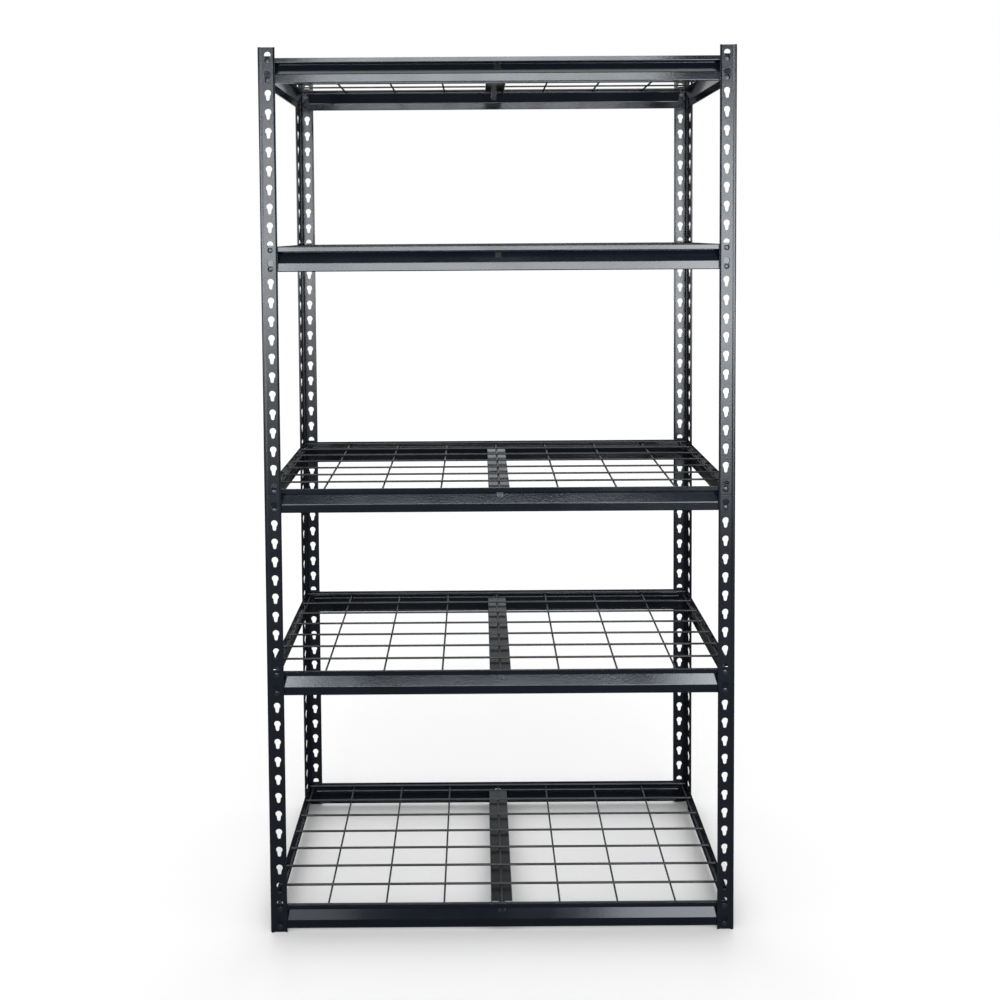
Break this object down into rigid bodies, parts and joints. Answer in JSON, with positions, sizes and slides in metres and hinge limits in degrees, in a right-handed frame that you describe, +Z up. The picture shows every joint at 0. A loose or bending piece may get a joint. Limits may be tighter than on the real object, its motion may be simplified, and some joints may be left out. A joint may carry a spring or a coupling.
{
  "type": "boltless steel shelving",
  "caption": "Free-standing boltless rack: keyhole angle posts, rolled beams held by rivet studs, and lift-out welded wire decks with centre supports.",
  "frame": {"origin": "on the floor at the middle of the footprint", "axes": "+Z up the posts, +X along the long beams to the right, front at -Y"},
  "size_m": [0.9662, 0.3062, 1.8288],
  "materials": {
    "post_powder_coat": "semi-gloss black powder coat",
    "beam_powder_coat": "semi-gloss black powder coat",
    "support_powder_coat": "semi-gloss black powder coat",
    "wire_coating": "satin black coated wire",
    "rivet_steel": "black coated steel"
  },
  "bodies": {
    "frame": {"post_front_left_lower": "post_powder_coat", "post_front_right_lower": "post_powder_coat", "post_back_right_lower": "post_powder_coat", "post_back_left_lower": "post_powder_coat", "post_front_left_upper": "post_powder_coat", "post_front_right_upper": "post_powder_coat", "post_back_right_upper": "post_powder_coat", "post_back_left_upper": "post_powder_coat", "shelf_1_beam_front": "beam_powder_coat", "shelf_1_beam_back": "beam_powder_coat", "shelf_1_beam_left": "beam_powder_coat", "shelf_1_beam_right": "beam_powder_coat", "shelf_1_rivets": "rivet_steel", "shelf_1_centre_support": "support_powder_coat", "shelf_2_beam_front": "beam_powder_coat", "shelf_2_beam_back": "beam_powder_coat", "shelf_2_beam_left": "beam_powder_coat", "shelf_2_beam_right": "beam_powder_coat", "shelf_2_rivets": "rivet_steel", "shelf_2_centre_support": "support_powder_coat", "shelf_3_beam_front": "beam_powder_coat", "shelf_3_beam_back": "beam_powder_coat", "shelf_3_beam_left": "beam_powder_coat", "shelf_3_beam_right": "beam_powder_coat", "shelf_3_rivets": "rivet_steel", "shelf_3_centre_support": "support_powder_coat", "shelf_4_beam_front": "beam_powder_coat", "shelf_4_beam_back": "beam_powder_coat", "shelf_4_beam_left": "beam_powder_coat", "shelf_4_beam_right": "beam_powder_coat", "shelf_4_rivets": "rivet_steel", "shelf_4_centre_support": "support_powder_coat", "shelf_5_beam_front": "beam_powder_coat", "shelf_5_beam_back": "beam_powder_coat", "shelf_5_beam_left": "beam_powder_coat", "shelf_5_beam_right": "beam_powder_coat", "shelf_5_rivets": "rivet_steel", "shelf_5_centre_support": "support_powder_coat"},
    "wire_deck_1": {"shelf_1_wire_deck": "wire_coating"},
    "wire_deck_2": {"shelf_2_wire_deck": "wire_coating"},
    "wire_deck_3": {"shelf_3_wire_deck": "wire_coating"},
    "wire_deck_4": {"shelf_4_wire_deck": "wire_coating"},
    "wire_deck_5": {"shelf_5_wire_deck": "wire_coating"}
  },
  "joints": [
    {"name": "wire_deck_1_lift", "type": "slide", "parent": "frame", "child": "wire_deck_1", "axis": [0, 0, 1], "range_m": [0, 0.3]},
    {"name": "wire_deck_2_lift", "type": "slide", "parent": "frame", "child": "wire_deck_2", "axis": [0, 0, 1], "range_m": [0, 0.3]},
    {"name": "wire_deck_3_lift", "type": "slide", "parent": "frame", "child": "wire_deck_3", "axis": [0, 0, 1], "range_m": [0, 0.3]},
    {"name": "wire_deck_4_lift", "type": "slide", "parent": "frame", "child": "wire_deck_4", "axis": [0, 0, 1], "range_m": [0, 0.3]},
    {"name": "wire_deck_5_lift", "type": "slide", "parent": "frame", "child": "wire_deck_5", "axis": [0, 0, 1], "range_m": [0, 0.3]}
  ]
}
